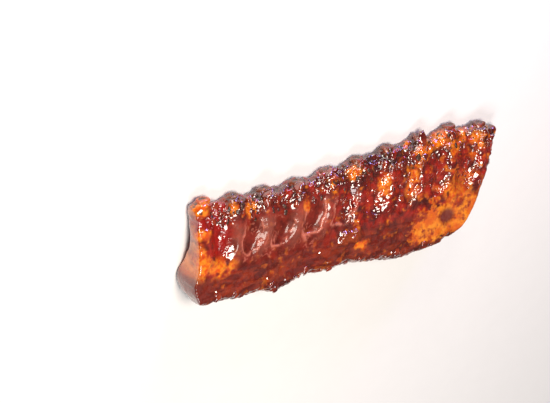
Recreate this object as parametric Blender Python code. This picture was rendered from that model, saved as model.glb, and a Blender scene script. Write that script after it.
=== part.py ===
"""A glazed rack of pork back ribs, lying on its meat side with the bone side up.

Metres, +Z up. X runs along the rack, +Y points to the rib tips, and the table is Z = 0.
The origin is the middle of the footprint. The slab of meat is one solid. Each rib bone is
a solid of its own: it runs through the meat in a close socket and its tip stands out of
the thin edge.

The work is done in the rack's own lines first: X from the left end, Y from the line where
the bone side starts to roll over into the thick loin edge. An empty then carries it all to
the origin.
"""

import math

import bmesh
import bpy
import numpy as np

# ---- Driving dimensions -------------------------------------------------------------------
LENGTH = 0.304  # left end to the far corner of the right end
RIB_COUNT = 10
FIRST_RIB = 0.0125  # X of the first rib's tip
RIB_PITCH = 0.02755  # at the left end
PITCH_GROWTH = 0.00029  # and it grows towards the right end
FACE_SLOPE = math.tan(math.radians(14.5))  # the bone side drops towards the tips
FACE_HEIGHT = 0.0290  # the bone side's height over the table at Y = 0
SOCKET_GAP = 0.0004  # free space round a bone

# ---- Outline, seen from above: (along the edge, position of the edge) ---------------------
TIP_EDGE = ((0.000, 0.0640), (0.090, 0.0585), (0.190, 0.0655), (0.245, 0.0690), (0.304, 0.0600))
LOIN_EDGE = (
    (0.000, -0.0165),
    (0.045, -0.0205),
    (0.078, -0.0245),
    (0.115, -0.0185),
    (0.150, -0.0200),
    (0.200, -0.0255),
    (0.245, -0.0295),
    (0.304, -0.0260),
)
RIGHT_END = ((-0.028, 0.244), (-0.010, 0.267), (0.016, 0.286), (0.040, 0.295), (0.070, 0.304))
LEFT_END = (
    (-0.018, 0.0050),
    (-0.008, -0.0022),
    (0.004, -0.0040),
    (0.016, 0.0010),
    (0.036, 0.0034),
    (0.070, 0.0028),
)
COLLAR_HEIGHT = 0.0048  # the meat climbs this far up each bone
COLLAR_WIDTH = 0.0082
NOTCH_DEPTH = 0.0030  # and is pulled back this far between them
DEEP_NOTCH = 0.0045  # further still in the one place where it has torn
DEEP_NOTCH_X = 0.2300
DEEP_NOTCH_WIDTH = 0.0060
# The loin edge and the bone side over it swell and sink: (wave length, height, phase)
SWELLS = ((0.114, 0.0008, 0.9), (0.047, 0.0007, 2.2))

# ---- Rounding of the slab's rim -----------------------------------------------------------
LOIN_ROUND = 0.0135
TIP_ROUND = 0.0048
LEFT_ROUND = 0.0025
RIGHT_ROUND = 0.0065

# ---- Underside: the loin lies flat, a long hollow follows, then the thin part lies down ----
HOLLOW_LINE = 0.0310  # Y of the hollow's deepest line
HOLLOW_WIDTH = 0.0150
HOLLOW_RISE = 0.0085
HOLLOW_AT_ENDS = 0.65  # share of the rise left at the two ends
END_LIFT = 0.0012  # how far the two ends curl up from the table
END_REACH = 0.0700
PRESSED_FLAT = 0.0007  # its own weight presses the lowest meat flat, up to this height

# ---- Relief of the bone side --------------------------------------------------------------
RIDGE_HEIGHT = 0.0018
RIDGE_WIDTH = 0.0068
RIDGE_FOOT = (0.004, 0.026)  # the ridges fade out between these Y
POCKET_DEPTH = 0.0026
FIRST_POCKET_DEPTH = 0.0046  # the one beside the straight-cut end is the deepest
POCKET_FILL = 0.55  # share of a pocket's depth that is left towards the tips
POCKET_FILL_LINE = (0.030, 0.042)
POCKET_FOOT = 0.0130  # Y of the round lower end of a pocket
POCKET_ARCH = 0.0090  # how much further up it starts beside a rib
BEND = 13.0  # how hard the ribs curve towards the left end below STRAIGHT_FROM, in 1/m
STRAIGHT_FROM = 0.045

# ---- Bones --------------------------------------------------------------------------------
BONE_HALF_WIDTH = 0.0060
BONE_HALF_HEIGHT = 0.0041
BONE_DEPTH = 0.0056  # the bone's axis below the bone side
BONE_DIVE = 0.0035  # how much deeper its inner end lies
BONE_DIVE_FROM = 0.0200
BONE_LEVEL_FROM = 0.0580  # past this Y the bone runs nearly level
BONE_LEVEL_SLOPE = 0.08
BONE_INNER_END = 0.0175  # from the loin edge
TIP_FLARE = 1.12
TIP_STANDS_OUT = (0.0022, 0.0008, 0.0011, 0.0006, 0.0010, 0.0007, 0.0010, 0.0008, 0.0012, 0.0010)

# ---- Fineness -----------------------------------------------------------------------------
STATIONS = 76  # along the rack
ROWS = 23  # from the loin edge to the tips
ROUND_ROWS = 4  # of those rows, how many lie in each rounded rim
BONE_RINGS = 8
BONE_SIDES = 10

MEAT_COLOUR = (0.36, 0.055, 0.020, 1.0)
BONE_COLOUR = (0.72, 0.38, 0.14, 1.0)


def smooth_step(low, high, value):
    """0 below low, 1 above high, and a smooth climb between."""
    share = np.clip((value - low) / (high - low), 0.0, 1.0)
    return share * share * (3.0 - 2.0 * share)


def smooth_line(points, at):
    """A curve through points, with the slope at each point taken from its two neighbours."""
    xs, ys = (np.array(column) for column in zip(*points))
    slopes = np.gradient(ys, xs)
    at = np.clip(np.asarray(at, float), xs[0], xs[-1])
    i = np.clip(np.searchsorted(xs, at, side="right") - 1, 0, len(xs) - 2)
    span = xs[i + 1] - xs[i]
    t = (at - xs[i]) / span
    rise = ys[i] * (2 * t**3 - 3 * t**2 + 1) + ys[i + 1] * (3 * t**2 - 2 * t**3)
    return rise + span * (slopes[i] * (t**3 - 2 * t**2 + t) + slopes[i + 1] * (t**3 - t**2))


def rim(distance, radius, power):
    """Share of the slab's half thickness left this far in from a rounded rim."""
    inward = 1.0 - np.clip(distance / radius, 0.0, 1.0)
    return (1.0 - inward**power) ** (1.0 / power)


def rib_x(rib, y):
    """X of a rib's middle line. The first rib is straight, because the rack was cut along it."""
    bent = min(1.0, rib / 2)
    tip = FIRST_RIB + rib * RIB_PITCH + rib**2 * PITCH_GROWTH
    return tip - bent * BEND * np.maximum(0.0, STRAIGHT_FROM - y) ** 2


def tip_edge(x):
    """Y of the thin edge, with a collar of meat round each bone and a notch between bones."""
    collars = sum(
        np.exp(-(((x - rib_x(rib, STRAIGHT_FROM)) / COLLAR_WIDTH) ** 2)) for rib in range(RIB_COUNT)
    )
    torn = DEEP_NOTCH * np.exp(-(((x - DEEP_NOTCH_X) / DEEP_NOTCH_WIDTH) ** 2))
    return smooth_line(TIP_EDGE, x) + COLLAR_HEIGHT * collars - NOTCH_DEPTH - torn


def swell(x):
    """The uneven thickness of the loin muscle along the rack."""
    return sum(h * np.sin(2 * math.pi * x / length + phase) for length, h, phase in SWELLS)


def loin_edge(x):
    return smooth_line(LOIN_EDGE, x) - swell(x)


def bone_side_plane(y):
    return FACE_HEIGHT - FACE_SLOPE * y


def relief(x, y):
    """Height of the bone side over its plane: a ridge on each rib and a pocket between ribs."""
    height = swell(x + 0.010) * (1.0 - smooth_step(-0.004, 0.020, y))
    for rib in range(RIB_COUNT):
        ridge = np.exp(-(((x - rib_x(rib, y)) / RIDGE_WIDTH) ** 2))
        height += RIDGE_HEIGHT * ridge * smooth_step(*RIDGE_FOOT, y)
    for rib in range(RIB_COUNT - 1):
        middle = (rib_x(rib, y) + rib_x(rib + 1, y)) / 2
        across = np.abs(x - middle) / ((rib_x(rib + 1, y) - rib_x(rib, y)) / 2)
        foot = POCKET_FOOT + POCKET_ARCH * across**2
        depth = POCKET_DEPTH if rib else FIRST_POCKET_DEPTH
        depth = depth * (1.0 - (1.0 - POCKET_FILL) * smooth_step(*POCKET_FILL_LINE, y))
        height -= depth * smooth_step(0.0, 0.75, 1 - across) * smooth_step(foot, foot + 0.010, y)
    return height


def underside(x, y):
    """Height of the meat side over the table."""
    ends = 1.0 - smooth_step(0.0, END_REACH, np.minimum(x, LENGTH - x))
    hollow = HOLLOW_RISE * np.exp(-(((y - HOLLOW_LINE) / HOLLOW_WIDTH) ** 2))
    return hollow * (1.0 - (1.0 - HOLLOW_AT_ENDS) * ends) + END_LIFT * ends


def spaced(count, rounded, start_round, end_round):
    """Shares of the way across, closer together where the rim is round."""
    turn = (1 - np.cos(np.linspace(0, math.pi / 2, rounded, endpoint=False)))
    middle = np.linspace(start_round, 1 - end_round, count - 2 * rounded)
    return np.concatenate([start_round * turn, middle, (1 - end_round * turn)[::-1]])


def slab_surfaces():
    """Two grids of points, bone side and meat side, which share their outer border."""
    along = spaced(STATIONS, 3, LEFT_ROUND / LENGTH, RIGHT_ROUND / LENGTH)
    across = spaced(ROWS, ROUND_ROWS, LOIN_ROUND / 0.085, TIP_ROUND / 0.085)
    along, across = np.meshgrid(along, across, indexing="ij")
    loin = loin_edge(along * LENGTH)
    rough_y = loin + (smooth_line(TIP_EDGE, along * LENGTH) - loin) * across
    left, right = smooth_line(LEFT_END, rough_y), smooth_line(RIGHT_END, rough_y)
    x = left + (right - left) * along
    tips = tip_edge(x)
    y = loin + (tips - loin) * across
    full = rim(y - loin, LOIN_ROUND, 2) * rim(tips - y, TIP_ROUND, 2)
    full = full * rim(x - left, LEFT_ROUND, 3) * rim(right - x, RIGHT_ROUND, 2.5)
    top = bone_side_plane(y) + relief(x, y)
    bottom = underside(x, y)
    middle, half = (top + bottom) / 2, (top - bottom) / 2 * full
    lower = np.maximum(middle - half, PRESSED_FLAT)
    return np.stack([x, y, middle + half], -1), np.stack([x, y, lower], -1)


def slab_mesh():
    """The closed slab: both grids sewn along the border."""
    upper, lower = slab_surfaces()
    rows, columns = upper.shape[:2]
    inside = np.zeros((rows, columns), bool)
    inside[1:-1, 1:-1] = True
    upper_index = np.arange(rows * columns).reshape(rows, columns)
    lower_index = upper_index.copy()
    lower_index[inside] = rows * columns + np.arange(inside.sum())
    points = np.concatenate([upper.reshape(-1, 3), lower[inside]])
    faces = []
    for i in range(rows - 1):
        for j in range(columns - 1):
            ring = ((i, j), (i + 1, j), (i + 1, j + 1), (i, j + 1))
            faces.append([upper_index[place] for place in ring])
            faces.append([lower_index[place] for place in reversed(ring)])
    return points, faces


def bone_axis_height(y):
    """The bone follows the bone side, then levels out at the tip and dives at its inner end."""
    level = np.maximum(0.0, y - BONE_LEVEL_FROM)
    dive = BONE_DIVE * (1.0 - smooth_step(-0.008, BONE_DIVE_FROM, y))
    return bone_side_plane(np.minimum(y, BONE_LEVEL_FROM)) - BONE_DEPTH - BONE_LEVEL_SLOPE * level - dive


def bone_tip_y(rib):
    return tip_edge(rib_x(rib, STRAIGHT_FROM)) + TIP_STANDS_OUT[rib]


def bone_mesh(rib, grow=0.0, past_tip=0.0):
    """An oval bar along the rib's line. grow and past_tip make the socket's cutter from it."""
    inner = float(loin_edge(rib_x(rib, 0.0))) + BONE_INNER_END - grow
    tip = bone_tip_y(rib)
    stations = [(y, 1.0) for y in np.linspace(inner, tip - 0.008, BONE_RINGS - 3)]
    if past_tip:
        stations += [(tip - 0.004, TIP_FLARE), (tip, TIP_FLARE), (tip + past_tip, TIP_FLARE)]
    else:
        stations += [(tip - 0.004, TIP_FLARE), (tip - 0.0012, TIP_FLARE), (tip, 0.80 * TIP_FLARE)]
    points = []
    for y, scale in stations:
        slope = (rib_x(rib, y + 0.001) - rib_x(rib, y - 0.001)) / 0.002
        heading = np.array([1.0, -slope, 0.0]) / math.hypot(1.0, slope)
        for side in range(BONE_SIDES):
            turn = 2 * math.pi * side / BONE_SIDES
            sideways = (BONE_HALF_WIDTH * scale + grow) * math.cos(turn)
            height = (BONE_HALF_HEIGHT * scale + grow) * math.sin(turn)
            points.append([rib_x(rib, y), y, bone_axis_height(y) + height] + heading * sideways)
    last = len(stations) - 1
    faces = [list(range(BONE_SIDES)), [last * BONE_SIDES + n for n in reversed(range(BONE_SIDES))]]
    for ring in range(last):
        for side in range(BONE_SIDES):
            a, b = ring * BONE_SIDES + side, ring * BONE_SIDES + (side + 1) % BONE_SIDES
            faces.append([a, a + BONE_SIDES, b + BONE_SIDES, b])
    return np.array(points), faces


def add_object(name, shape, parent, material=None):
    """A mesh object from points and faces, triangulated, its faces turned outwards."""
    points, faces = shape
    mesh = bpy.data.meshes.new(name)
    mesh.from_pydata([tuple(map(float, p)) for p in points], [], [list(map(int, f)) for f in faces])
    shell = bmesh.new()
    shell.from_mesh(mesh)
    bmesh.ops.triangulate(shell, faces=shell.faces)
    bmesh.ops.recalc_face_normals(shell, faces=shell.faces)
    shell.to_mesh(mesh)
    shell.free()
    mesh.shade_smooth()
    if material:
        mesh.materials.append(material)
    made = bpy.data.objects.new(name, mesh)
    bpy.context.scene.collection.objects.link(made)
    made.parent = parent
    return made


def add_material(name, colour, roughness):
    material = bpy.data.materials.new(name)
    material.use_nodes = True
    shader = material.node_tree.nodes["Principled BSDF"]
    shader.inputs["Base Color"].default_value = colour
    shader.inputs["Roughness"].default_value = roughness
    shader.inputs["Metallic"].default_value = 0.0
    return material


def cut_sockets(meat, parent):
    """Cuts a close socket for each bone out of the meat."""
    cutters = bpy.data.collections.new("socket_cutters")
    bpy.context.scene.collection.children.link(cutters)
    for rib in range(RIB_COUNT):
        shape = bone_mesh(rib, grow=SOCKET_GAP, past_tip=0.012)
        cutter = add_object(f"socket_cutter_{rib + 1:02d}", shape, parent)
        bpy.context.scene.collection.objects.unlink(cutter)
        cutters.objects.link(cutter)
        cutter.hide_render = True
        cutter.display_type = "WIRE"
    cut = meat.modifiers.new("bone sockets", "BOOLEAN")
    cut.operation = "DIFFERENCE"
    cut.operand_type = "COLLECTION"
    cut.collection = cutters


def main():
    for old in list(bpy.data.objects):
        bpy.data.objects.remove(old)
    slab = slab_mesh()
    bones = [bone_mesh(rib) for rib in range(RIB_COUNT)]
    points = np.concatenate([slab[0]] + [bone[0] for bone in bones])
    low, high = points.min(axis=0), points.max(axis=0)
    rack = bpy.data.objects.new("rack", None)
    bpy.context.scene.collection.objects.link(rack)
    rack.location = (-(low[0] + high[0]) / 2, -(low[1] + high[1]) / 2, -low[2])
    meat_finish = add_material("glazed meat", MEAT_COLOUR, 0.22)
    bone_finish = add_material("roasted bone", BONE_COLOUR, 0.45)
    meat = add_object("meat", slab, rack, meat_finish)
    for rib, bone in enumerate(bones):
        add_object(f"rib_bone_{rib + 1:02d}", bone, rack, bone_finish)
    cut_sockets(meat, rack)


main()
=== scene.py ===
"""The looks of a glazed rack of pork back ribs, lying on its meat side with the bone side up.

Everything is in metres. The shapes are worked out in the rack's own lines: X from the
straight-cut end, Y from the line where the bone side starts to roll over into the loin
edge, towards the rib tips, and Z from the table. They are then moved onto the CAD part.
"""

import itertools
import math

import bpy
import numpy as np
from mathutils import Matrix, Vector


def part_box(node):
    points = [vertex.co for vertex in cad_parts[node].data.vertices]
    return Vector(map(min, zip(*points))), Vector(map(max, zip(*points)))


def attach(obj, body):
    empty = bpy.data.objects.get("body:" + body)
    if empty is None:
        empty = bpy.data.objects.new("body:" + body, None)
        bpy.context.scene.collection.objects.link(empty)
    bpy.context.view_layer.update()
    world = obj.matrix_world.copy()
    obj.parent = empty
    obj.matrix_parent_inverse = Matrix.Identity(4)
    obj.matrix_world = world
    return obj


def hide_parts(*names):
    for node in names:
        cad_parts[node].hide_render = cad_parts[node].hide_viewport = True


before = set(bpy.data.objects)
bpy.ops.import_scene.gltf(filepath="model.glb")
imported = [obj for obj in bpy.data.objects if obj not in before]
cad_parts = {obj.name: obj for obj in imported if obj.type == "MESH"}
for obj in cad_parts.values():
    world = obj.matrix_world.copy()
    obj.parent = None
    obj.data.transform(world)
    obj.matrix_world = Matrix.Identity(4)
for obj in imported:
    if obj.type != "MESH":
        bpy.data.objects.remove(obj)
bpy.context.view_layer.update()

# ---- The slab: the same driving dimensions as the CAD part ---------------------------------
LENGTH = 0.304
RIB_COUNT = 10
FIRST_RIB, RIB_PITCH, PITCH_GROWTH = 0.0125, 0.02755, 0.00029
FACE_TILT = math.radians(14.5)
FACE_HEIGHT = 0.0290
TIP_EDGE = ((0.000, 0.0640), (0.090, 0.0585), (0.190, 0.0655), (0.245, 0.0690), (0.304, 0.0600))
LOIN_EDGE = (
    (0.000, -0.0165),
    (0.045, -0.0205),
    (0.078, -0.0245),
    (0.115, -0.0185),
    (0.150, -0.0200),
    (0.200, -0.0255),
    (0.245, -0.0295),
    (0.304, -0.0260),
)
RIGHT_END = ((-0.028, 0.244), (-0.010, 0.267), (0.016, 0.286), (0.040, 0.295), (0.070, 0.304))
LEFT_END = (
    (-0.018, 0.0050),
    (-0.008, -0.0022),
    (0.004, -0.0040),
    (0.016, 0.0010),
    (0.036, 0.0034),
    (0.070, 0.0028),
)
COLLAR_HEIGHT, COLLAR_WIDTH, NOTCH_DEPTH = 0.0048, 0.0082, 0.0030
DEEP_NOTCH, DEEP_NOTCH_X, DEEP_NOTCH_WIDTH = 0.0045, 0.2300, 0.0060
SWELLS = ((0.114, 0.0008, 0.9), (0.047, 0.0007, 2.2))
LOIN_ROUND, TIP_ROUND, LEFT_ROUND, RIGHT_ROUND = 0.0135, 0.0048, 0.0025, 0.0065
HOLLOW_LINE, HOLLOW_WIDTH, HOLLOW_RISE, HOLLOW_AT_ENDS = 0.0310, 0.0150, 0.0085, 0.65
END_LIFT, END_REACH, PRESSED_FLAT = 0.0012, 0.0700, 0.0007
RIDGE_HEIGHT, RIDGE_WIDTH, RIDGE_FOOT = 0.0018, 0.0068, (0.004, 0.026)
POCKET_DEPTH, FIRST_POCKET_DEPTH, POCKET_FOOT, POCKET_ARCH = 0.0026, 0.0046, 0.0130, 0.0090
POCKET_FILL, POCKET_FILL_LINE = 0.55, (0.030, 0.042)
BEND, STRAIGHT_FROM = 13.0, 0.045
BONE_HALF_WIDTH, BONE_HALF_HEIGHT, BONE_DEPTH = 0.0060, 0.0041, 0.0056
BONE_DIVE, BONE_DIVE_FROM, BONE_LEVEL_FROM, BONE_LEVEL_SLOPE = 0.0035, 0.0200, 0.0580, 0.08
BONE_INNER_END = 0.0175
COATED = 0.0006  # a bone tip ends this much lower under its crust of glaze
TIP_STANDS_OUT = (0.0022, 0.0008, 0.0011, 0.0006, 0.0010, 0.0007, 0.0010, 0.0008, 0.0012, 0.0010)
# The end of a bone's tip, ring by ring: (how far below the tip, share of the bone's width)
TIP_END = ((0.0007, 0.93), (0.0003, 0.82), (0.0, 0.64), (0.0001, 0.46), (0.0003, 0.30), (0.0004, 0.14))
MARROW_RINGS = 3  # the last of them

# ---- How finely the looks are meshed --------------------------------------------------------
STATIONS, ROUND_STATIONS = 440, (6, 10)  # along the rack, and those in its two rounded ends
TOP_ROWS, ROUND_ROWS = 157, (32, 14)  # across it, and those in the loin and tip rims
UNDER_STEP = 3  # the underside has every third row
SLAB_WIDTH = 0.085  # about, to space the rows
BONE_SIDES, BONE_RINGS, TIP_RINGS = 32, 16, 18


def smooth_step(low, high, value):
    """0 below low, 1 above high, and a smooth climb between."""
    share = np.clip((value - low) / (high - low), 0.0, 1.0)
    return share * share * (3.0 - 2.0 * share)


def fade(low, high, value):
    """1 below low, 0 above high, and a smooth fall between."""
    return 1 - smooth_step(low, high, value)


def bump(middle, width, value):
    """1 in the middle, and a bell-shaped fall to nothing on both sides."""
    return np.exp(-(((value - middle) / width) ** 2))


def smooth_line(points, at):
    """A curve through points, with the slope at each point taken from its two neighbours."""
    xs, ys = (np.array(column) for column in zip(*points))
    slopes = np.gradient(ys, xs)
    at = np.clip(np.asarray(at, float), xs[0], xs[-1])
    i = np.clip(np.searchsorted(xs, at, side="right") - 1, 0, len(xs) - 2)
    span = xs[i + 1] - xs[i]
    t = (at - xs[i]) / span
    rise = ys[i] * (2 * t**3 - 3 * t**2 + 1) + ys[i + 1] * (3 * t**2 - 2 * t**3)
    return rise + span * (slopes[i] * (t**3 - 2 * t**2 + t) + slopes[i + 1] * (t**3 - t**2))


def grain(points, size, seed):
    """Smooth noise from about -1 to 1 with lumps of this size, which may differ along X, Y and Z."""
    place = points / np.asarray(size) + 31.7 * seed
    cell = np.floor(place)
    part = place - cell
    cell = cell.astype(np.int64)
    ease = part**3 * (part * (part * 6 - 15) + 10)
    total = np.zeros(len(points))
    for corner in itertools.product((0, 1), repeat=3):
        # A whole number that is scattered but always the same for the same corner of a cell
        mixed = (cell + corner) @ np.array([73856093, 19349663, 83492791]) + seed * 7919
        mixed = ((mixed ^ (mixed >> 15)) * 739981 + 1299709) & 0x7FFFFFFF
        mixed = ((mixed ^ (mixed >> 13)) * 1540483 + 15485863) & 0x7FFFFFFF
        mixed = mixed ^ (mixed >> 11)
        turn = (mixed & 0x7FFF) / 0x7FFF * 2 * math.pi
        height = ((mixed >> 15) & 0x7FFF) / 0x7FFF * 2 - 1
        ring = np.sqrt(1 - height**2)
        slope = np.stack([ring * np.cos(turn), ring * np.sin(turn), height], -1)
        weight = np.prod(np.where(corner, ease, 1 - ease), axis=-1)
        total += weight * np.sum(slope * (part - corner), axis=-1)
    return total * 1.7


def layered(points, size, seed, layers=3):
    """grain() added at several sizes, each half as large and half as strong as the last."""
    size = np.asarray(size, float)
    return sum(grain(points, size / 2**n, seed + n) / 2**n for n in range(layers))


# ---- The slab's lines -----------------------------------------------------------------------
def rim(distance, radius, power):
    """Share of the slab's half thickness left this far in from a rounded rim."""
    inward = 1.0 - np.clip(distance / radius, 0.0, 1.0)
    return (1.0 - inward**power) ** (1.0 / power)


def rib_x(rib, y):
    """X of a rib's middle line. The first rib is straight, because the rack was cut along it."""
    bent = min(1.0, rib / 2)
    tip = FIRST_RIB + rib * RIB_PITCH + rib**2 * PITCH_GROWTH
    return tip - bent * BEND * np.maximum(0.0, STRAIGHT_FROM - y) ** 2


def tip_edge(x):
    """Y of the thin edge, with a collar of meat round each bone and a notch between bones."""
    collars = sum(bump(rib_x(rib, STRAIGHT_FROM), COLLAR_WIDTH, x) for rib in range(RIB_COUNT))
    torn = DEEP_NOTCH * bump(DEEP_NOTCH_X, DEEP_NOTCH_WIDTH, x)
    return smooth_line(TIP_EDGE, x) + COLLAR_HEIGHT * collars - NOTCH_DEPTH - torn


def swell(x):
    """The uneven thickness of the loin muscle along the rack."""
    return sum(h * np.sin(2 * math.pi * x / length + phase) for length, h, phase in SWELLS)


def loin_edge(x):
    return smooth_line(LOIN_EDGE, x) - swell(x)


def bone_side_plane(y):
    return FACE_HEIGHT - math.tan(FACE_TILT) * y


def ridge_mask(x, y):
    """1 along the top of each rib, 0 between ribs and below their feet."""
    ribs = sum(bump(rib_x(rib, y), RIDGE_WIDTH, x) for rib in range(RIB_COUNT))
    return ribs * smooth_step(*RIDGE_FOOT, y)


def pocket_mask(x, y, first=0, last=RIB_COUNT - 1):
    """1 in the middle of each pocket between two ribs, with a round lower end."""
    mask = np.zeros(np.broadcast(x, y).shape)
    for rib in range(first, last):
        middle = (rib_x(rib, y) + rib_x(rib + 1, y)) / 2
        across = np.abs(x - middle) / ((rib_x(rib + 1, y) - rib_x(rib, y)) / 2)
        foot = POCKET_FOOT + POCKET_ARCH * across**2
        mask += smooth_step(0.0, 0.75, 1 - across) * smooth_step(foot, foot + 0.010, y)
    return mask


def relief(x, y):
    """Height of the bone side over its plane: a ridge on each rib and a pocket between ribs."""
    height = swell(x + 0.010) * (1.0 - smooth_step(-0.004, 0.020, y))
    depth = POCKET_DEPTH * pocket_mask(x, y, first=1)
    depth = depth + FIRST_POCKET_DEPTH * pocket_mask(x, y, last=1)
    depth = depth * (1.0 - (1.0 - POCKET_FILL) * smooth_step(*POCKET_FILL_LINE, y))
    return height + RIDGE_HEIGHT * ridge_mask(x, y) - depth


def underside(x, y):
    """Height of the meat side over the table."""
    ends = 1.0 - smooth_step(0.0, END_REACH, np.minimum(x, LENGTH - x))
    hollow = HOLLOW_RISE * bump(HOLLOW_LINE, HOLLOW_WIDTH, y)
    return hollow * (1.0 - (1.0 - HOLLOW_AT_ENDS) * ends) + END_LIFT * ends


def spaced(count, rounded, start_round, end_round):
    """Shares of the way across. rounded is how many of them lie in each of the two round rims."""
    first, last = rounded
    start = start_round * (1 - np.cos(np.linspace(0, math.pi / 2, first, endpoint=False)))
    end = 1 - end_round * (1 - np.cos(np.linspace(0, math.pi / 2, last, endpoint=False)))
    middle = np.linspace(start_round, 1 - end_round, count - first - last)
    return np.concatenate([start, middle, end[::-1]])


def slab_side(columns, is_top):
    """A grid of points over one side of the slab, out to the rim's middle line."""
    across = spaced(TOP_ROWS, ROUND_ROWS, LOIN_ROUND / SLAB_WIDTH, TIP_ROUND / SLAB_WIDTH)[columns]
    along = spaced(STATIONS, ROUND_STATIONS, LEFT_ROUND / LENGTH, RIGHT_ROUND / LENGTH)
    along, across = np.meshgrid(along, across, indexing="ij")
    loin = loin_edge(along * LENGTH)
    rough_y = loin + (smooth_line(TIP_EDGE, along * LENGTH) - loin) * across
    left, right = smooth_line(LEFT_END, rough_y), smooth_line(RIGHT_END, rough_y)
    x = left + (right - left) * along
    tips = tip_edge(x)
    y = loin + (tips - loin) * across
    full = rim(y - loin, LOIN_ROUND, 2) * rim(tips - y, TIP_ROUND, 2)
    full = full * rim(x - left, LEFT_ROUND, 3) * rim(right - x, RIGHT_ROUND, 2.5)
    top = bone_side_plane(y) + relief(x, y)
    bottom = underside(x, y)
    middle, half = (top + bottom) / 2, (top - bottom) / 2 * full
    z = middle + half if is_top else np.maximum(middle - half, PRESSED_FLAT)
    return np.stack([x, y, z], -1)


def slab_mesh():
    """Points and faces of the closed slab. The underside has a third of the bone side's rows."""
    top = slab_side(slice(None), True)
    under = slab_side(slice(None, None, UNDER_STEP), False)
    rows, columns = top.shape[:2]
    top_index = np.arange(rows * columns).reshape(rows, columns)
    under_index = rows * columns + np.arange(rows * under.shape[1]).reshape(rows, -1)
    border = np.ones(under_index.shape, bool)
    border[1:-1, 1:-1] = False
    under_index[border] = top_index[:, ::UNDER_STEP][border]
    faces = []
    for i in range(rows - 1):
        for j in range(columns - 1):
            faces.append(top_index[(i, i + 1, i + 1, i), (j, j, j + 1, j + 1)].tolist())
        for j in range(under_index.shape[1] - 1):
            ring = under_index[(i, i, i + 1, i + 1), (j, j + 1, j + 1, j)].tolist()
            # At the two ends the underside meets all of the bone side's points.
            between = list(range(UNDER_STEP * j + 1, UNDER_STEP * (j + 1)))
            if i == 0:
                ring[1:1] = top_index[0, between].tolist()
            if i == rows - 2:
                ring[3:3] = top_index[-1, between[::-1]].tolist()
            faces.append(ring)
    used = np.zeros(rows * columns + under_index.size, bool)
    used[: rows * columns] = True
    used[under_index.ravel()] = True
    new_index = np.cumsum(used) - 1
    points = np.concatenate([top.reshape(-1, 3), under.reshape(-1, 3)])[used]
    return points, [new_index[face].tolist() for face in faces]


# ---- Looks of the bone side, as shares from 0 to 1 ------------------------------------------
# Each pair holds the two distances between which a look comes or goes. Left, right, foot and
# top are the sides of the area that it covers, with the rib tips at the top.
SKIN_LEFT, SKIN_RIGHT, SKIN_FOOT, SKIN_TOP = (0.028, 0.040), (0.112, 0.140), (0.004, 0.012), (0.036, 0.050)
FAT_LEFT, FAT_RIGHT, FAT_FOOT, FAT_TOP = (0.198, 0.214), (0.266, 0.284), (-0.021, -0.013), (0.004, 0.016)
TIPS_LEFT, TIPS_FOOT = (0.014, 0.022), (0.043, 0.052)
CRUST_LEFT, CRUST_FOOT = (0.122, 0.150), (0.010, 0.020)
RIGHT_END_LEFT, RIGHT_END_TOP = (0.235, 0.262), (0.022, 0.034)
SLANTED_END_LEFT = (0.190, 0.240)
CUT_END_RIGHT, CUT_END_FOOT = (0.0005, 0.0034), (0.004, 0.012)
LOBE_RIGHT, LOBE_TOP = (0.004, 0.016), (0.002, 0.010)
FIRST_POCKET_RIGHT = (0.030, 0.036)
# Where the pale lines of painted sheen along the pockets start and end, from the foot up.
SHEEN_LINES_FOOT, SHEEN_LINES_TOP = (0.008, 0.014), (0.034, 0.046)
BAND_TOP, ROUGH_RIM_TOP, BROWN_RIM_TOP = (0.004, 0.012), (-0.016, -0.008), (-0.018, -0.006)
CHAR_FOOT = (0.046, 0.054)

# Oval patches: X and Y of the middle, half the width along X, half the height along Y, and how
# far the patch leans towards +X as it rises. On these, orange fat or bare bone shows through.
ORANGE_PATCHES = (
    (0.007, 0.062, 0.010, 0.007, 0.0),
    (0.006, 0.043, 0.009, 0.007, 0.4),
    (0.004, 0.020, 0.007, 0.014, 0.0),
    (0.017, 0.012, 0.018, 0.007, 0.3),
    (0.036, 0.055, 0.004, 0.005, 0.0),
    (0.053, 0.050, 0.005, 0.006, 0.0),
    (0.104, 0.040, 0.004, 0.006, 0.0),
    (0.130, 0.050, 0.004, 0.009, 0.0),
    (0.152, 0.055, 0.008, 0.006, 0.2),
    (0.153, -0.003, 0.007, 0.0035, 0.0),
    (0.180, 0.038, 0.006, 0.011, 0.1),
    (0.209, 0.038, 0.0065, 0.016, 0.2),
    (0.222, 0.056, 0.011, 0.007, 0.0),
    (0.204, 0.063, 0.006, 0.005, 0.0),
    (0.240, 0.063, 0.008, 0.008, 0.0),
    (0.264, 0.061, 0.006, 0.006, 0.0),
    (0.253, 0.055, 0.006, 0.010, 0.0),
    (0.247, 0.018, 0.008, 0.011, 0.2),
    (0.276, 0.052, 0.008, 0.010, 0.1),
    (0.262, 0.004, 0.014, 0.010, 0.0),
)
FIRST_POCKET_TOP = (0.017, 0.050, 0.016, 0.006, 0.0)
SAUCE_DISC = (0.242, -0.0010, 0.0085, 0.0062, 0.0)
GLAZE_POOL = (0.142, 0.0065, 0.0125, 0.0055, 0.3)


def patch(x, y, middle_x, middle_y, half_width, half_height, lean):
    """1 inside an oval patch, falling to 0 a little outside its outline."""
    off = x - middle_x - lean * (y - middle_y)
    return fade(0.6, 1.3, np.hypot(off / half_width, (y - middle_y) / half_height))


def sheen_lines(x, y):
    """Painted sheen: pale lines along the pockets' lower edges, where the wet skin would mirror the bright
    surroundings.
    """
    edge = pocket_mask(x, y, first=1, last=5)
    return bump(0.36, 0.20, edge) * smooth_step(*SHEEN_LINES_FOOT, y) * fade(*SHEEN_LINES_TOP, y)


def lump_height(points):
    """The lumps of thick glaze, 0 in the folds between them."""
    lumps = np.abs(grain(points, 0.0095, 61)) + 0.6 * np.abs(grain(points, 0.0048, 63))
    return lumps + 0.25 * np.abs(grain(points, 0.0026, 65))


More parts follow.
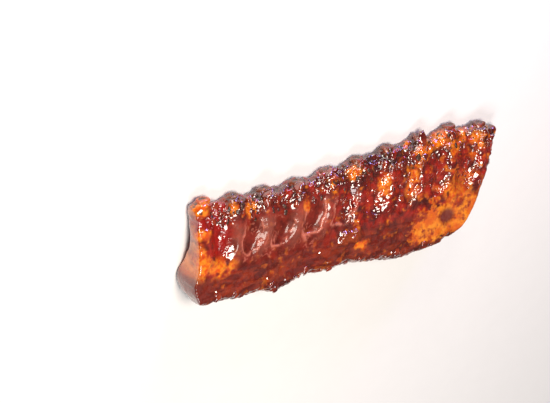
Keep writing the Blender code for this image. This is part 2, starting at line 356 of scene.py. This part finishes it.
def char_share(points, slanted_end):
    """Char, most of it along the tips and past the middle of the rack, less at the slanted end."""
    x, y = points[:, 0], points[:, 1]
    edge = smooth_step(0.050, 0.064, y) + 0.5 * bump(0.178, 0.030, x) * smooth_step(0.048, 0.060, y)
    burnt = layered(points, 0.0060, 41) + 0.7 * edge - 0.60 - 0.25 * slanted_end
    return smooth_step(0.25, 0.60, burnt) * smooth_step(*CHAR_FOOT, y)


def looks(points, facing):
    """The shares that drive the meat's relief and colour, one value per point for each."""
    x, y = points[:, 0], points[:, 1]
    # bx and by wander off x and y, which makes the borders of the looks ragged.
    wander = 0.0026 * np.stack([grain(points, 0.009, seed) for seed in (3, 5, 7)], -1)
    wander += 0.0010 * np.stack([grain(points, 0.0035, seed) for seed in (8, 9, 10)], -1)
    bx, by = (points + wander)[:, 0], (points + wander)[:, 1]
    up = smooth_step(-0.30, 0.30, facing)
    patches = layered(points, 0.013, 11)
    spots = layered(points, 0.0055, 17)
    streaks = layered(points, (0.014, 0.0042, 0.006), 29)
    # Pale streaks of painted sheen on the skin, stretched along the ribs.
    sheen_streak_grain = np.abs(grain(points + 3 * wander, (0.0060, 0.016, 0.010), 31))
    lumps = lump_height(points)

    skin = smooth_step(*SKIN_LEFT, bx) * fade(*SKIN_RIGHT, bx)
    skin = skin * smooth_step(*SKIN_FOOT, by) * fade(*SKIN_TOP, by)
    fat = smooth_step(*FAT_LEFT, bx - 0.3 * by) * fade(*FAT_TOP, by)
    fat = fat * fade(*FAT_RIGHT, bx) * smooth_step(*FAT_FOOT, by)
    tips = smooth_step(*TIPS_FOOT, by) * smooth_step(*TIPS_LEFT, x + 0.2 * (0.06 - y))
    low_band = fade(*BAND_TOP, by)
    pocket = pocket_mask(bx, by)
    deep = np.maximum(pocket * fade(*FIRST_POCKET_RIGHT, x), patch(bx, by, *FIRST_POCKET_TOP))
    disc, pool = patch(x, y, *SAUCE_DISC), patch(bx, by, *GLAZE_POOL)
    slanted_end = smooth_step(*SLANTED_END_LEFT, bx)
    right_end = smooth_step(*RIGHT_END_LEFT, bx) * fade(*RIGHT_END_TOP, by)
    cut_end = fade(*CUT_END_RIGHT, bx) * smooth_step(*CUT_END_FOOT, y)
    lobe = fade(*LOBE_TOP, by) * fade(*LOBE_RIGHT, bx)

    orange = np.maximum.reduce([patch(bx, by, *place) for place in ORANGE_PATCHES])
    orange = orange * smooth_step(-0.9, -0.2, patches + 0.6 * spots)
    flecks = smooth_step(0.42, 0.80, spots + 0.5 * patches + 0.28 * slanted_end)
    flecks = flecks * (1 - 0.8 * skin) * (1 - pocket * 0.5)
    orange = np.maximum.reduce([
        orange,
        0.7 * flecks * (1 - 0.5 * low_band),
        0.6 * right_end * smooth_step(-0.2, 0.3, patches),
    ])
    # The pale lines along the pockets and the pale streaks on the skin are painted sheen, standing in for
    # reflections on the wet skin.
    sheen_line = sheen_lines(bx, by) * smooth_step(-0.6, 0.1, spots)
    sheen_streak = fade(0.02, 0.12, sheen_streak_grain) * skin * smooth_step(-0.2, 0.3, patches)
    chunky = np.maximum.reduce([
        tips,
        0.75 * smooth_step(*CRUST_LEFT, bx) * smooth_step(*CRUST_FOOT, by),
        0.7 * fade(*ROUGH_RIM_TOP, by),
        deep,
        pool,
        0.30 * low_band,
    ]) * (1 - 0.75 * fat)
    # Painted shade: the folds between the lumps of glaze are darkened where shade would fall.
    crevice_shade = chunky * fade(0.12, 0.42, lumps) * (1 - 0.6 * orange) * (1 - 0.5 * deep)
    brown = np.maximum.reduce([
        0.9 * tips * smooth_step(-0.3, 0.3, patches - 0.4 * spots),
        0.8 * smooth_step(0.10, 0.55, layered(points, 0.018, 37)) * (1 - skin),
        0.5 * fade(*BROWN_RIM_TOP, by),
    ])
    return {
        "orange": orange * up * (1 - 0.8 * deep),
        "fat": fat * up,
        "brown": brown * (1 - 0.7 * deep),
        "skin": skin * up,
        # The pale share is painted sheen: pale lines, streaks and rib ridges where the glossy skin would
        # mirror the bright surroundings.
        "pale": np.maximum.reduce([sheen_line, 0.6 * sheen_streak, 0.32 * skin * ridge_mask(bx, by)]) * up,
        "deep": deep,
        "disc": disc * up,
        "pool": pool * up,
        "cut_end": cut_end,
        "band": low_band * (1 - fat) * up,
        "char": char_share(points, slanted_end),
        "chunky": chunky,
        "lobe": lobe,
        "crevice_shade": crevice_shade,
        "streaks": streaks,
    }


def meat_relief(points, share):
    """How far each point of the meat stands out from the plain slab, in metres."""
    calm = np.clip(share["fat"] + 0.7 * share["skin"] + 0.5 * share["band"], 0, 1)
    height = 0.00060 * grain(points, 0.014, 51)
    height += 0.00040 * grain(points, 0.0060, 53) * (1 - 0.7 * calm)
    height += 0.00022 * share["streaks"] * (share["band"] + 0.4 * share["skin"])
    # The lines of painted sheen also stand out a little, the glaze pool rises as a dome, and the sauce disc
    # sinks a little.
    height += 0.00060 * share["pale"] + 0.0030 * share["pool"] - 0.0005 * share["disc"]
    # The floor of the first pocket rises away from the first rib and towards the pocket's foot.
    bowl = (points[:, 0] - 0.021) / 0.012 - (points[:, 1] - 0.040) / 0.014
    height += 0.0034 * share["deep"] * (smooth_step(-1.4, 1.4, bowl) - 0.4)
    crags = 1 + 0.4 * smooth_step(0.046, 0.056, points[:, 1])
    return height + share["chunky"] * crags * (0.0024 * lump_height(points) - 0.0011)


# ---- Building and finishing pieces ----------------------------------------------------------
def add_piece(name, points, faces, material, slot, node_names=()):
    mesh = bpy.data.meshes.new(name)
    mesh.from_pydata(points.tolist(), [], faces)
    mesh.update()
    mesh.shade_smooth()
    mesh.materials.append(material)
    piece = bpy.data.objects.new(name, mesh)
    bpy.context.scene.collection.objects.link(piece)
    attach(piece, "root")
    if node_names:
        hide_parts(*node_names)
    return piece


def mesh_normals(points, faces):
    """The direction that each point of a mesh faces."""
    mesh = bpy.data.meshes.new("for_normals")
    mesh.from_pydata(points.tolist(), [], faces)
    mesh.update()
    normals = np.zeros(len(points) * 3, np.float32)
    mesh.vertex_normals.foreach_get("vector", normals)
    bpy.data.meshes.remove(mesh)
    return normals.reshape(-1, 3).astype(float)


def set_share(mesh, name, values):
    """Gives each point of a mesh a value that its material reads by this name."""
    attribute = mesh.attributes.new(name, "FLOAT", "POINT")
    attribute.data.foreach_set("value", np.asarray(values, np.float32))


def rgb(red, green, blue):
    """A screen colour, each part from 0 to 255, as the linear colour a shader takes."""
    parts = np.array([red, green, blue]) / 255
    linear = np.where(parts <= 0.04045, parts / 12.92, ((parts + 0.055) / 1.055) ** 2.4)
    return (*linear.tolist(), 1.0)


class Nodes:
    """A short way to build a shader tree."""

    def __init__(self, name):
        self.material = bpy.data.materials.new(name)
        self.material.use_nodes = True
        self.tree = self.material.node_tree
        self.shader = self.tree.nodes["Principled BSDF"]

    def add(self, kind, inputs=(), **settings):
        node = self.tree.nodes.new(kind)
        for key, value in settings.items():
            setattr(node, key, value)
        for key, value in dict(inputs).items():
            self.put(node.inputs[key], value)
        return node

    def put(self, socket, value):
        if isinstance(value, bpy.types.NodeSocket):
            self.tree.links.new(value, socket)
        else:
            socket.default_value = value

    def share(self, name):
        return self.add("ShaderNodeAttribute", attribute_name=name).outputs["Fac"]

    def place(self):
        return self.add("ShaderNodeTexCoord").outputs["Object"]

    def noise(self, scale, detail=3.0, roughness=0.55, stretch=(1, 1, 1), seed=0.0):
        mapping = self.add("ShaderNodeMapping", {"Vector": self.place()})
        mapping.inputs["Scale"].default_value = stretch
        mapping.inputs["Location"].default_value = (seed, 0.7 * seed, -seed)
        inputs = {"Vector": mapping.outputs[0], "Scale": scale, "Detail": detail, "Roughness": roughness}
        return self.add("ShaderNodeTexNoise", inputs).outputs["Fac"]

    def ramp(self, value, low, high, to_low=0.0, to_high=1.0):
        inputs = {"Value": value, "From Min": low, "From Max": high, "To Min": to_low, "To Max": to_high}
        node = self.add("ShaderNodeMapRange", inputs, clamp=True, interpolation_type="SMOOTHSTEP")
        return node.outputs[0]

    def math(self, operation, first, second):
        node = self.add("ShaderNodeMath", operation=operation)
        self.put(node.inputs[0], first)
        self.put(node.inputs[1], second)
        return node.outputs[0]

    def mix(self, share, first, second):
        node = self.add("ShaderNodeMix", data_type="RGBA")
        self.put(node.inputs[0], share)
        self.put(node.inputs[6], first)
        self.put(node.inputs[7], second)
        return node.outputs[2]

    def tint(self, colour, name, strength, tone):
        """colour, turned to tone where the share of this name is high."""
        return self.mix(self.math("MULTIPLY", self.share(name), strength), colour, tone)

    def bumped(self, height, distance, strength=1.0, under=None):
        inputs = {"Height": height, "Distance": distance, "Strength": strength}
        if under is not None:
            inputs["Normal"] = under
        return self.add("ShaderNodeBump", inputs).outputs[0]


def meat_material():
    nodes = Nodes("glazed meat")
    fine = nodes.noise(330.0, 2.0, 0.5, seed=1.0)
    middle = nodes.noise(130.0, 4.0, 0.55, seed=2.0)
    colour = nodes.mix(nodes.ramp(middle, 0.36, 0.66), rgb(158, 27, 8), rgb(88, 13, 5))
    colour = nodes.mix(nodes.ramp(fine, 0.58, 0.76, 0.0, 0.5), colour, rgb(186, 62, 16))
    colour = nodes.tint(colour, "brown", 0.9, rgb(60, 13, 8))
    band_tone = nodes.mix(nodes.ramp(nodes.share("streaks"), -0.3, 0.5), rgb(92, 23, 10), rgb(134, 44, 16))
    colour = nodes.tint(colour, "band", 0.8, band_tone)
    skin_tone = nodes.mix(nodes.ramp(middle, 0.35, 0.65), rgb(112, 34, 24), rgb(82, 21, 15))
    colour = nodes.tint(colour, "skin", 0.9, skin_tone)
    orange_tone = nodes.mix(nodes.ramp(fine, 0.35, 0.65), rgb(208, 78, 4), rgb(238, 134, 14))
    colour = nodes.tint(colour, "orange", nodes.ramp(middle, 0.25, 0.5, 0.45, 1.0), orange_tone)
    fat_tone = nodes.mix(nodes.ramp(middle, 0.35, 0.65), rgb(210, 92, 8), rgb(236, 138, 26))
    stains = nodes.ramp(nodes.noise(95.0, 5.0, 0.65, seed=3.0), 0.48, 0.62)
    fat_tone = nodes.mix(stains, fat_tone, rgb(140, 42, 14))
    ragged_fat = nodes.math("ADD", nodes.share("fat"), nodes.ramp(fine, 0.3, 0.7, -0.3, 0.3))
    colour = nodes.mix(nodes.ramp(ragged_fat, 0.25, 0.8), colour, fat_tone)
    # Painted sheen: the pale share lightens the skin where it would mirror the bright surroundings.
    colour = nodes.tint(colour, "pale", 0.85, rgb(204, 118, 98))
    colour = nodes.mix(nodes.share("deep"), colour, rgb(150, 14, 4))
    colour = nodes.tint(colour, "cut_end", nodes.ramp(middle, 0.35, 0.6, 0.5, 1.0), rgb(224, 128, 58))
    colour = nodes.tint(colour, "lobe", 0.9, rgb(112, 30, 16))
    # Painted shade in the folds between the lumps of glaze.
    colour = nodes.tint(colour, "crevice_shade", 0.85, rgb(40, 8, 5))
    colour = nodes.tint(colour, "pool", 0.8, rgb(150, 58, 18))
    colour = nodes.tint(colour, "disc", 0.95, rgb(112, 44, 34))
    char = nodes.math("MULTIPLY", nodes.share("char"), nodes.ramp(fine, 0.3, 0.55, 0.5, 1.0))
    colour = nodes.mix(char, colour, rgb(54, 22, 9))
    nodes.put(nodes.shader.inputs["Base Color"], colour)
    rough = nodes.ramp(fine, 0.3, 0.7, 0.26, 0.40)
    nodes.put(nodes.shader.inputs["Roughness"], nodes.math("ADD", rough, nodes.math("MULTIPLY", char, 0.12)))
    nodes.shader.inputs["Specular IOR Level"].default_value = 0.15
    nodes.put(nodes.shader.inputs["Coat Weight"], nodes.ramp(nodes.share("skin"), 0.2, 0.8, 1.0, 0.2))
    nodes.shader.inputs["Coat Roughness"].default_value = 0.06
    nodes.shader.inputs["Coat IOR"].default_value = 1.9
    nodes.shader.inputs["Subsurface Weight"].default_value = 0.08
    nodes.shader.inputs["Subsurface Radius"].default_value = (1.0, 0.35, 0.18)
    nodes.shader.inputs["Subsurface Scale"].default_value = 0.0018
    strength = nodes.ramp(nodes.share("chunky"), 0.0, 0.8, 0.25, 1.0)
    ripple = nodes.bumped(nodes.noise(230.0, 2.0, 0.5, seed=4.0), 0.0012, strength)
    nodes.put(nodes.shader.inputs["Normal"], ripple)
    lumps = nodes.bumped(nodes.noise(155.0, 1.5, 0.4, seed=6.0), 0.0022, strength)
    nodes.put(nodes.shader.inputs["Coat Normal"], lumps)
    return nodes.material


def bone_material():
    nodes = Nodes("roasted bone")
    middle = nodes.noise(160.0, 4.0, 0.6, seed=8.0)
    fine = nodes.noise(700.0, 3.0, 0.6, seed=9.0)
    bare = nodes.mix(nodes.ramp(middle, 0.38, 0.62), rgb(228, 128, 44), rgb(186, 70, 26))
    bare = nodes.mix(nodes.ramp(fine, 0.5, 0.7, 0.0, 0.6), bare, rgb(238, 168, 92))
    coated = nodes.mix(nodes.ramp(middle, 0.42, 0.62), rgb(84, 16, 8), rgb(140, 50, 16))
    coated = nodes.mix(nodes.ramp(fine, 0.5, 0.75), coated, rgb(58, 30, 18))
    colour = nodes.mix(nodes.share("glazed"), bare, coated)
    end_tone = nodes.mix(nodes.ramp(fine, 0.4, 0.65), rgb(50, 20, 10), rgb(100, 50, 24))
    colour = nodes.mix(nodes.share("marrow"), colour, end_tone)
    nodes.put(nodes.shader.inputs["Base Color"], colour)
    nodes.put(nodes.shader.inputs["Roughness"], nodes.ramp(middle, 0.3, 0.7, 0.26, 0.5))
    nodes.shader.inputs["Coat Weight"].default_value = 0.8
    nodes.shader.inputs["Coat Roughness"].default_value = 0.08
    pores = nodes.bumped(fine, 0.0003, 0.7)
    nodes.put(nodes.shader.inputs["Normal"], nodes.bumped(middle, 0.0012, 0.8, pores))
    return nodes.material


# ---- Rib bones ------------------------------------------------------------------------------
def bone_axis_height(y):
    """The bone follows the bone side, then levels out at the tip and dives at its inner end."""
    level = np.maximum(0.0, y - BONE_LEVEL_FROM)
    dive = BONE_DIVE * (1.0 - smooth_step(-0.008, BONE_DIVE_FROM, y))
    return bone_side_plane(np.minimum(y, BONE_LEVEL_FROM)) - BONE_DEPTH - BONE_LEVEL_SLOPE * level - dive


def bone_mesh(rib):
    """An oval bar along the rib's line, knobbly at its tip, with a sunk marrow face."""
    inner = loin_edge(rib_x(rib, 0.0)) + BONE_INNER_END
    tip = tip_edge(rib_x(rib, STRAIGHT_FROM)) + TIP_STANDS_OUT[rib] - COATED
    body = [(y, 1.0) for y in np.linspace(inner, tip - 0.016, BONE_RINGS)]
    body += [(y, 1.0) for y in np.linspace(tip - 0.0145, tip - 0.0012, TIP_RINGS)]
    body += [(tip - below, scale) for below, scale in TIP_END]
    points, marrow = [], []
    for ring, (y, scale) in enumerate(body):
        slope = (rib_x(rib, y + 0.001) - rib_x(rib, y - 0.001)) / 0.002
        heading = np.array([1.0, -slope, 0.0]) / math.hypot(1.0, slope)
        for side in range(BONE_SIDES):
            turn = 2 * math.pi * side / BONE_SIDES
            sideways = BONE_HALF_WIDTH * scale * math.cos(turn)
            height = BONE_HALF_HEIGHT * scale * math.sin(turn)
            points.append([rib_x(rib, y), y, bone_axis_height(y) + height] + heading * sideways)
            marrow.append(1.0 if ring >= len(body) - MARROW_RINGS else 0.0)
    points = np.array(points)
    centre = np.stack([rib_x(rib, points[:, 1]), points[:, 1], bone_axis_height(points[:, 1])], -1)
    outwards = points - centre
    outwards /= np.maximum(np.linalg.norm(outwards, axis=1, keepdims=True), 1e-6)
    near_tip = smooth_step(tip - 0.014, tip - 0.006, points[:, 1])
    knobs = 0.0013 * grain(points, 0.0060, 71 + rib) + 0.0006 * grain(points, 0.0024, 91 + rib)
    points = points + outwards * (knobs * near_tip)[:, None]
    points[:, 1] -= np.clip(grain(points, (0.006, 1.0, 0.004), 83 + rib), 0, 1) * 0.0012 * near_tip
    last = len(body) - 1
    faces = [list(range(BONE_SIDES)), [last * BONE_SIDES + n for n in reversed(range(BONE_SIDES))]]
    for ring in range(last):
        for side in range(BONE_SIDES):
            a, b = ring * BONE_SIDES + side, ring * BONE_SIDES + (side + 1) % BONE_SIDES
            faces.append([a, a + BONE_SIDES, b + BONE_SIDES, b])
    return points, faces, np.array(marrow)


# ---- Putting the rack together --------------------------------------------------------------
SMOOTH_BELOW = 0.004  # the crust fades out this near to the table, where the rack rests on it
GLAZED, NEARLY_BARE = 0.9, 0.15  # how much glaze covers a bone's tip; the first is nearly bare

slab_points, slab_faces = slab_mesh()
shift = np.array(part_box("meat")[0]) - slab_points.min(axis=0)
slab_normals = mesh_normals(slab_points, slab_faces)
shares = looks(slab_points, slab_normals[:, 2])
relief_height = meat_relief(slab_points, shares)
free = smooth_step(0.0, SMOOTH_BELOW, slab_points[:, 2] - PRESSED_FLAT)
free = np.where(slab_normals[:, 2] < 0, free, 1.0)
meat_points = slab_points + slab_normals * (relief_height * free)[:, None] + shift
meat_points[:, 2] = np.maximum(meat_points[:, 2], 0.0)
meat = add_piece("glazed_meat", meat_points, slab_faces, meat_material(), "glazed_meat", ["meat"])
for name, values in shares.items():
    set_share(meat.data, name, values)

bone_look = bone_material()
for rib in range(RIB_COUNT):
    points, faces, marrow = bone_mesh(rib)
    name = f"rib_bone_{rib + 1:02d}"
    bone = add_piece(f"roasted_{name}", points + shift, faces, bone_look, "roasted_bone", [name])
    set_share(bone.data, "marrow", marrow)
    set_share(bone.data, "glazed", np.full(len(points), GLAZED if rib else NEARLY_BARE))


# ---- Glaze drops and char on the crust ------------------------------------------------------
CLEAR_OF_TABLE = 0.0004  # no drop reaches lower than this


def blob(centre, axes, half_sizes, seed, sides=12, rings=7):
    """A closed lump: points and faces of a ball, squeezed to these half sizes and made uneven."""
    points = [[0.0, 0.0, 1.0]]
    for ring in range(1, rings):
        tilt = math.pi * ring / rings
        for side in range(sides):
            turn = 2 * math.pi * side / sides
            points.append([math.sin(tilt) * math.cos(turn), math.sin(tilt) * math.sin(turn), math.cos(tilt)])
    points = np.array(points + [[0.0, 0.0, -1.0]])
    points = points * (1 + 0.42 * grain(points, 0.9, seed))[:, None]
    last = len(points) - 1
    faces = []
    for side in range(sides):
        after = (side + 1) % sides
        faces.append([0, 1 + side, 1 + after])
        faces.append([last, last - sides + after, last - sides + side])
        for ring in range(rings - 2):
            a, b = 1 + ring * sides + side, 1 + ring * sides + after
            faces.append([a, a + sides, b + sides, b])
    return centre + points * np.asarray(half_sizes) @ axes, faces


def joined(meshes):
    """One mesh, points and faces, from several."""
    starts = itertools.accumulate((len(points) for points, _ in meshes), initial=0)
    faces = [[start + n for n in face] for start, mesh in zip(starts, meshes) for face in mesh[1]]
    return np.concatenate([points for points, _ in meshes]), faces


def scatter(count, seed, place, sizes, thickness, sunk):
    """One mesh of lumps sitting on the crust.

    place() turns two random numbers into X and Y. sizes are the least and the greatest half
    width, thickness is a share of that, and sunk is how deep a lump sits, as a share of its
    half thickness.
    """
    dice = np.random.default_rng(seed)
    lumps = []
    for n in range(count):
        spot = np.array(place(dice.random(), dice.random()))
        nearest = np.argmin(np.sum((slab_points[: STATIONS * TOP_ROWS, :2] - spot) ** 2, axis=1))
        normal = crust_normals[nearest]
        downhill = np.array([0.2 * dice.normal(), 1.0, 0.0])
        downhill -= normal * (downhill @ normal)
        downhill /= np.linalg.norm(downhill)
        axes = np.array([np.cross(downhill, normal), downhill, normal])
        wide = sizes[0] + (sizes[1] - sizes[0]) * dice.random() ** 2
        half_sizes = (wide, wide * (0.9 + 0.9 * dice.random()), wide * thickness)
        centre = meat_points[nearest] - normal * half_sizes[2] * sunk
        lumps.append(blob(centre, axes, half_sizes, seed + n))
    points, faces = joined(lumps)
    points[:, 2] = np.maximum(points[:, 2], CLEAR_OF_TABLE)
    return points, faces


def glaze_material():
    nodes = Nodes("thick glaze")
    middle = nodes.noise(150.0, 3.0, 0.5, seed=12.0)
    colour = nodes.mix(nodes.ramp(middle, 0.35, 0.65), rgb(88, 14, 7), rgb(150, 48, 14))
    nodes.put(nodes.shader.inputs["Base Color"], colour)
    nodes.put(nodes.shader.inputs["Roughness"], nodes.ramp(middle, 0.3, 0.7, 0.10, 0.2))
    nodes.shader.inputs["Coat Weight"].default_value = 1.0
    nodes.shader.inputs["Coat Roughness"].default_value = 0.04
    nodes.shader.inputs["Coat IOR"].default_value = 1.9
    lumps = nodes.bumped(nodes.noise(260.0, 1.0, 0.4, seed=13.0), 0.0010, 0.7)
    nodes.put(nodes.shader.inputs["Coat Normal"], lumps)
    return nodes.material


def char_material():
    nodes = Nodes("charred crust")
    fine = nodes.noise(900.0, 3.0, 0.6, seed=14.0)
    colour = nodes.mix(nodes.ramp(fine, 0.4, 0.65), rgb(40, 18, 9), rgb(98, 48, 20))
    nodes.put(nodes.shader.inputs["Base Color"], colour)
    nodes.put(nodes.shader.inputs["Roughness"], nodes.ramp(fine, 0.3, 0.7, 0.3, 0.6))
    nodes.shader.inputs["Coat Weight"].default_value = 0.7
    nodes.shader.inputs["Coat Roughness"].default_value = 0.1
    nodes.put(nodes.shader.inputs["Normal"], nodes.bumped(fine, 0.0004, 0.8))
    return nodes.material


def on_tips(along_share, up_share):
    x = 0.020 + 0.276 * along_share**1.6
    return x, tip_edge(x) - 0.0015 - 0.015 * up_share


def on_right_half(along_share, up_share):
    return 0.135 + 0.150 * along_share, 0.016 + 0.036 * up_share


def on_loin_edge(along_share, up_share):
    x = 0.012 + 0.225 * along_share
    return x, loin_edge(x) + 0.0020 + 0.010 * up_share


crust_normals = mesh_normals(meat_points, slab_faces)
drops = joined([
    scatter(64, seed=300, place=on_tips, sizes=(0.0020, 0.0044), thickness=0.50, sunk=0.45),
    scatter(36, seed=500, place=on_right_half, sizes=(0.0012, 0.0032), thickness=0.36, sunk=0.40),
    scatter(16, seed=700, place=on_loin_edge, sizes=(0.0024, 0.0050), thickness=0.36, sunk=0.45),
])
add_piece("glaze_drops", *drops, glaze_material(), "glazed_meat")
flakes = scatter(110, seed=900, place=on_tips, sizes=(0.0005, 0.0020), thickness=0.35, sunk=0.4)
add_piece("char_flakes", *flakes, char_material(), "glazed_meat")

# ---- Floor, light and camera ----------------------------------------------------------------
# The view is that of a rack leaning in a roasting stand. The camera keeps its place round the
# rack as the rack is laid down, so it looks down on the bone side with the rib tips up in the
# picture.
LOOKS_DOWN, TURNED, LEANS = math.radians(24.3), math.radians(35.0), math.radians(8.0)
LENS, SENSOR_WIDTH = 114.5, 36.0  # millimetres
CORNER_FROM_CAMERA = np.array([-0.0569, 0.0678, 1.311])  # rightwards, downwards and forwards
WORLD_STRENGTH = 0.09
FLOOR_REACH, FLOOR_DROP = 3.0, 0.0002  # the floor lies a hair under the table's height

upright = np.array([0, -math.cos(LOOKS_DOWN), -math.sin(LOOKS_DOWN)])
level = np.array([0, -math.sin(LOOKS_DOWN), math.cos(LOOKS_DOWN)])
along = math.cos(TURNED) * np.array([1.0, 0, 0]) + math.sin(TURNED) * level
away = -math.sin(TURNED) * np.array([1.0, 0, 0]) + math.cos(TURNED) * level
to_tips = math.cos(LEANS) * upright + math.sin(LEANS) * away
out = math.sin(LEANS) * upright - math.cos(LEANS) * away
seen = np.stack([along, to_tips, out])  # the rack's own directions as the camera sees them
lying = np.array([
    [1, 0, 0],
    [0, math.cos(FACE_TILT), -math.sin(FACE_TILT)],
    [0, math.sin(FACE_TILT), math.cos(FACE_TILT)],
])  # the same directions on the table
to_table = lying.T @ seen  # turns rightwards, downwards and forwards into X, Y and Z
corner = np.array([0.0, 0.0, FACE_HEIGHT]) + shift
camera_place = corner - to_table @ CORNER_FROM_CAMERA

camera_data = bpy.data.cameras.new("camera")
camera_data.sensor_width = SENSOR_WIDTH
camera_data.lens = LENS
camera = bpy.data.objects.new("camera", camera_data)
axes = np.stack([to_table[:, 0], -to_table[:, 1], -to_table[:, 2]], -1)
camera.matrix_world = Matrix.Translation(camera_place) @ Matrix(axes.tolist()).to_4x4()
bpy.context.scene.collection.objects.link(camera)
bpy.context.scene.camera = camera


def add_softbox(name, direction, distance, size, power, colour=(1, 1, 1)):
    """A square studio light, facing the rack from this direction over the table."""
    toward = Vector(direction).normalized()
    light = bpy.data.lights.new(name, "AREA")
    light.size = size
    light.energy = power
    light.color = colour
    lamp = bpy.data.objects.new(name, light)
    lamp.location = toward * distance
    lamp.rotation_euler = toward.to_track_quat("Z", "Y").to_euler()
    bpy.context.scene.collection.objects.link(lamp)


WARM, COOL = (1.0, 0.90, 0.80), (0.42, 0.35, 1.0)
add_softbox("key", (-0.28, 0.36, 0.89), distance=1.1, size=0.46, power=12.5, colour=WARM)
add_softbox("tip side", (0.05, 0.95, 0.30), distance=1.0, size=0.28, power=3.0, colour=WARM)
add_softbox("fill", (-0.35, -0.60, 0.72), distance=1.5, size=0.70, power=9.0)
add_softbox("overhead", (0.50, -0.25, 0.85), distance=1.4, size=0.80, power=0.25)
add_softbox("cool edge", (0.55, 0.80, 0.22), distance=0.9, size=0.18, power=2.8, colour=COOL)

world = bpy.data.worlds.new("studio")
world.use_nodes = True
sky = world.node_tree.nodes["Background"]
sky.inputs["Color"].default_value = (1.0, 1.0, 1.0, 1.0)
sky.inputs["Strength"].default_value = WORLD_STRENGTH
bpy.context.scene.world = world
bpy.context.scene.view_settings.view_transform = "Standard"

floor_mesh = bpy.data.meshes.new("floor")
corners = [(x * FLOOR_REACH, y * FLOOR_REACH, 0) for x, y in ((-1, -1), (1, -1), (1, 1), (-1, 1))]
floor_mesh.from_pydata(corners, [], [(0, 1, 2, 3)])
floor = bpy.data.objects.new("floor", floor_mesh)
paper = Nodes("pale paper")
paper_tone = paper.mix(paper.noise(60.0), (0.86, 0.86, 0.86, 1), (0.89, 0.89, 0.89, 1))
paper.put(paper.shader.inputs["Base Color"], paper_tone)
paper.shader.inputs["Roughness"].default_value = 0.7
floor_mesh.materials.append(paper.material)
bpy.context.scene.collection.objects.link(floor)
floor.location.z = -FLOOR_DROP
